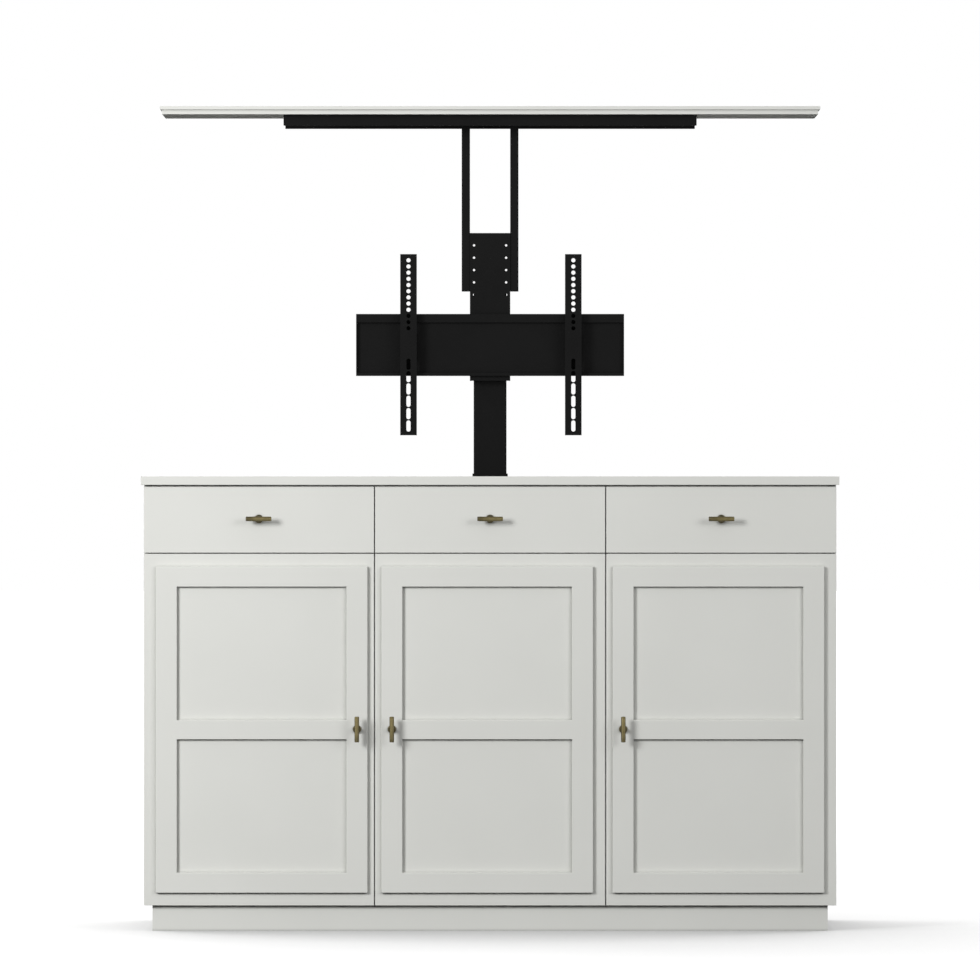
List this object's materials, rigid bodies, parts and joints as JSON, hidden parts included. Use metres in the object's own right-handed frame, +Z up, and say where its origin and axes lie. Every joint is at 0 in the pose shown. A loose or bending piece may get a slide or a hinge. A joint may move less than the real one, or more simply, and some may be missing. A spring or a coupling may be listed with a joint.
{
  "type": "television lift cabinet",
  "caption": "Low painted cabinet with drawers over panelled cupboards and a rear bay whose powered telescopic lift raises a flush lid and television arms.",
  "frame": {"origin": "middle of the overall box, on the floor, with the lift raised", "axes": "+Z up, the doors face -Y, +X to the viewer's right"},
  "size_m": [1.664, 0.532, 1.9787],
  "materials": {
    "painted_board": "satin grey-white paint on board",
    "case_board": "pale melamine-faced board",
    "black_steel": "matt black powder coat",
    "black_plastic": "matt black moulded plastic",
    "aged_brass": "antique brushed brass",
    "bright_steel": "nickel-plated steel",
    "bolt_steel": "zinc-plated steel",
    "actuator_steel": "ground steel"
  },
  "bodies": {
    "cabinet": {"side_panel_left": "painted_board", "side_panel_right": "painted_board", "bottom_panel": "case_board", "divider_left": "case_board", "divider_right": "case_board", "bay_partition": "case_board", "back_panel": "painted_board", "cable_grommet": "black_plastic", "case_rails": "case_board", "plinth": "painted_board", "shelves": "case_board", "shelf_pins": "bright_steel", "countertop": "painted_board", "hinge_arms": "bright_steel", "slide_channels": "bright_steel", "outer_column": "black_steel", "lift_base": "black_steel", "base_screws": "bolt_steel", "column_brackets": "black_steel", "motor_unit": "black_steel", "actuator_tube": "actuator_steel", "control_box": "black_plastic"},
    "door_left": {"door_left_slab": "painted_board", "door_left_frame": "painted_board", "door_left_handle": "aged_brass", "door_left_hinge_cups": "bright_steel"},
    "door_middle": {"door_middle_slab": "painted_board", "door_middle_frame": "painted_board", "door_middle_handle": "aged_brass", "door_middle_hinge_cups": "bright_steel"},
    "door_right": {"door_right_slab": "painted_board", "door_right_frame": "painted_board", "door_right_handle": "aged_brass", "door_right_hinge_cups": "bright_steel"},
    "drawer_left": {"drawer_left_front": "painted_board", "drawer_left_box": "case_board", "drawer_left_slide_bars": "bright_steel", "drawer_left_handle": "aged_brass"},
    "drawer_middle": {"drawer_middle_front": "painted_board", "drawer_middle_box": "case_board", "drawer_middle_slide_bars": "bright_steel", "drawer_middle_handle": "aged_brass"},
    "drawer_right": {"drawer_right_front": "painted_board", "drawer_right_box": "case_board", "drawer_right_slide_bars": "bright_steel", "drawer_right_handle": "aged_brass"},
    "lift_middle": {"middle_column": "black_steel", "actuator_middle_tube": "actuator_steel"},
    "lift_head": {"mast": "black_steel", "head_bracket": "black_steel", "carriage_plate": "black_steel", "flange_bolts": "bolt_steel", "crossbar": "black_steel", "tv_arm_left": "black_steel", "tv_arm_right": "black_steel", "upright_left": "black_steel", "upright_right": "black_steel", "lid_carrier": "black_steel", "lid": "painted_board", "actuator_rod": "actuator_steel"}
  },
  "joints": [
    {"name": "door_left_hinge", "type": "hinge", "parent": "cabinet", "child": "door_left", "pos_m": [-0.817, -0.229, 0.48], "axis": [0, 0, -1], "range_deg": [0, 100]},
    {"name": "door_middle_hinge", "type": "hinge", "parent": "cabinet", "child": "door_middle", "pos_m": [0.26617, -0.229, 0.48], "axis": [0, 0, 1], "range_deg": [0, 100]},
    {"name": "door_right_hinge", "type": "hinge", "parent": "cabinet", "child": "door_right", "pos_m": [0.817, -0.229, 0.48], "axis": [0, 0, 1], "range_deg": [0, 100]},
    {"name": "drawer_left_slide", "type": "slide", "parent": "cabinet", "child": "drawer_left", "axis": [0, -1, 0], "range_m": [0, 0.15]},
    {"name": "drawer_middle_slide", "type": "slide", "parent": "cabinet", "child": "drawer_middle", "axis": [0, -1, 0], "range_m": [0, 0.15]},
    {"name": "drawer_right_slide", "type": "slide", "parent": "cabinet", "child": "drawer_right", "axis": [0, -1, 0], "range_m": [0, 0.15]},
    {"name": "lift_middle_slide", "type": "slide", "parent": "cabinet", "child": "lift_middle", "axis": [0, 0, 1], "range_m": [-0.4476, 0]},
    {"name": "lift_head_slide", "type": "slide", "parent": "lift_middle", "child": "lift_head", "axis": [0, 0, 1], "range_m": [-0.4476, 0]}
  ],
  "couplings": [
    {"joint": "lift_head_slide", "follows": "lift_middle_slide", "ratio": 1}
  ]
}
